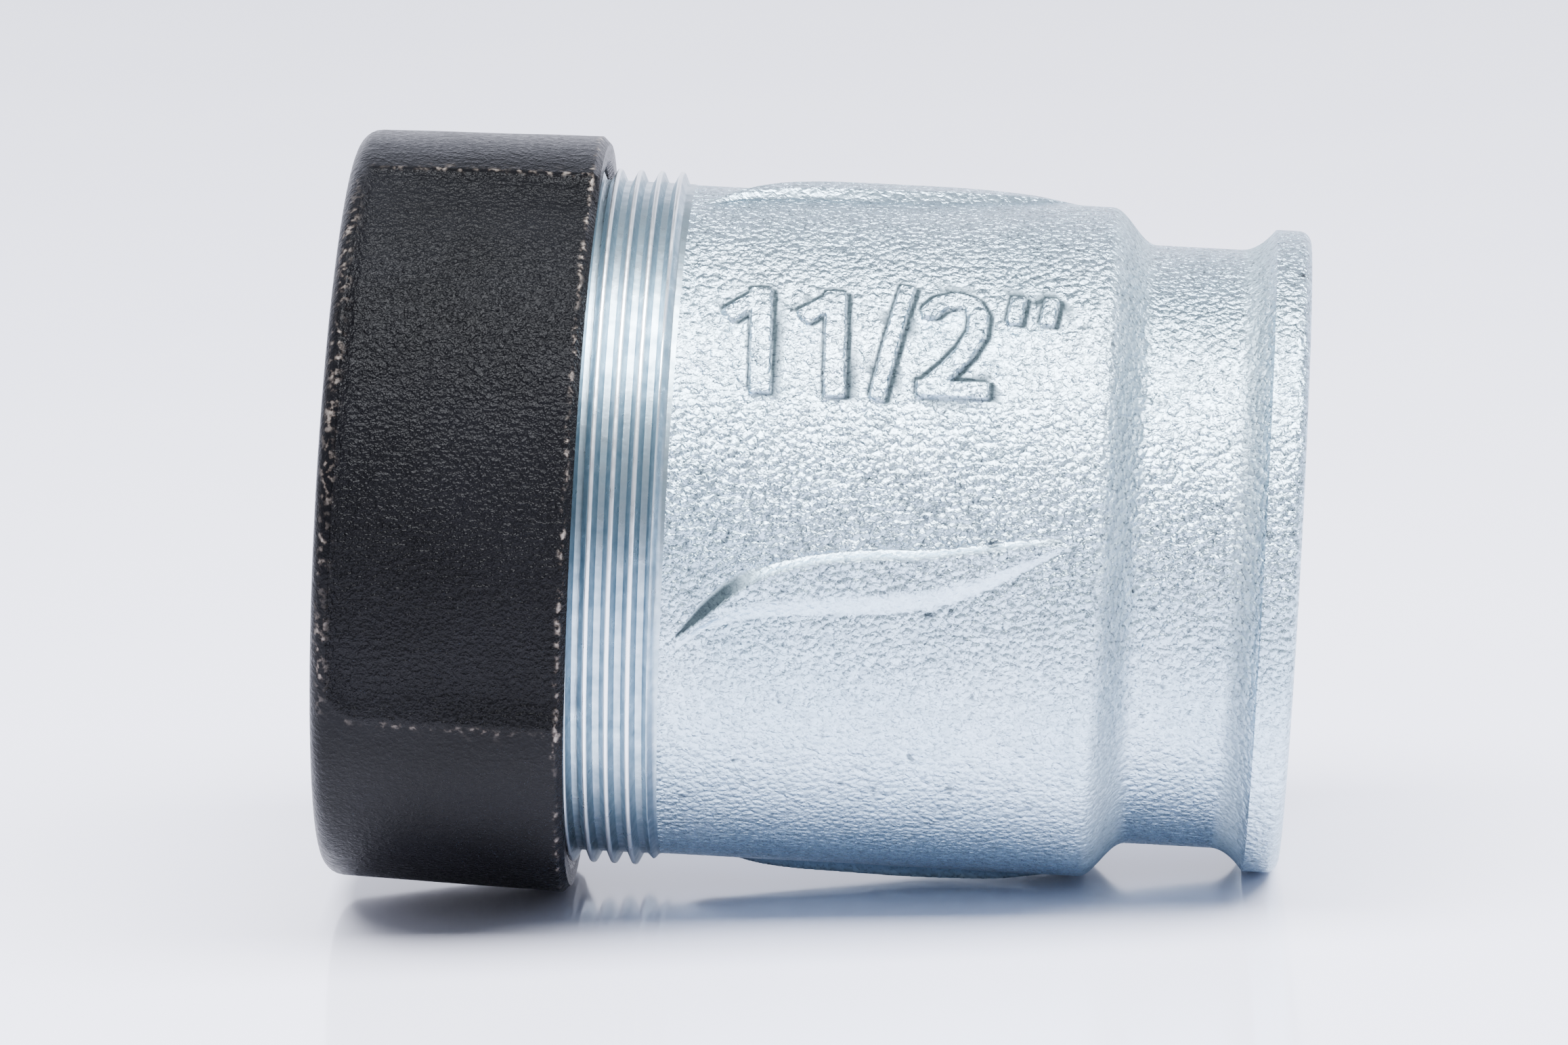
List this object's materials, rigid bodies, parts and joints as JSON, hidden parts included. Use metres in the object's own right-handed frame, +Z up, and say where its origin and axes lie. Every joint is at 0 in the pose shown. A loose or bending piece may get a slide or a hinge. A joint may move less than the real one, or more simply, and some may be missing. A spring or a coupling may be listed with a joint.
{
  "type": "pipe union",
  "caption": "Compression coupling that joins a plain steel pipe end to a threaded pipe: galvanised body, black union nut, clamping ring, pressure ring and rubber seal.",
  "frame": {"origin": "on the coupling's axis, at the centre of its bounding box", "axes": "+X along the axis from the union nut to the female pipe thread, +Z up with the coupling lying on its side, front at -Y"},
  "size_m": [0.1056, 0.0828, 0.084],
  "materials": {
    "galvanised_iron": "cast, hot-dip galvanised, fine sparkling grain, cut thread",
    "black_iron": "cast, black, satin, orange-peel grain, worn bright at the edges",
    "ring_steel": "turned, yellowish plating",
    "washer_steel": "pressed, zinc plated",
    "seal_rubber": "moulded nitrile rubber, matt"
  },
  "bodies": {
    "fitting": {"fitting_body": "galvanised_iron", "sealing_ring": "seal_rubber"},
    "ring_stack": {"clamping_ring": "ring_steel", "pressure_ring": "washer_steel"},
    "nut": {"union_nut": "black_iron"}
  },
  "joints": [
    {"name": "nut_advance", "type": "slide", "parent": "fitting", "child": "ring_stack", "axis": [1, 0, 0], "range_m": [-0.0116, 0.0047]},
    {"name": "nut_turn", "type": "hinge", "parent": "ring_stack", "child": "nut", "pos_m": [-0.0388, 0, 0], "axis": [1, 0, 0], "range_deg": [-1800, 720]}
  ],
  "couplings": [
    {"joint": "nut_advance", "follows": "nut_turn", "m_per_rad": 0.0003675}
  ]
}
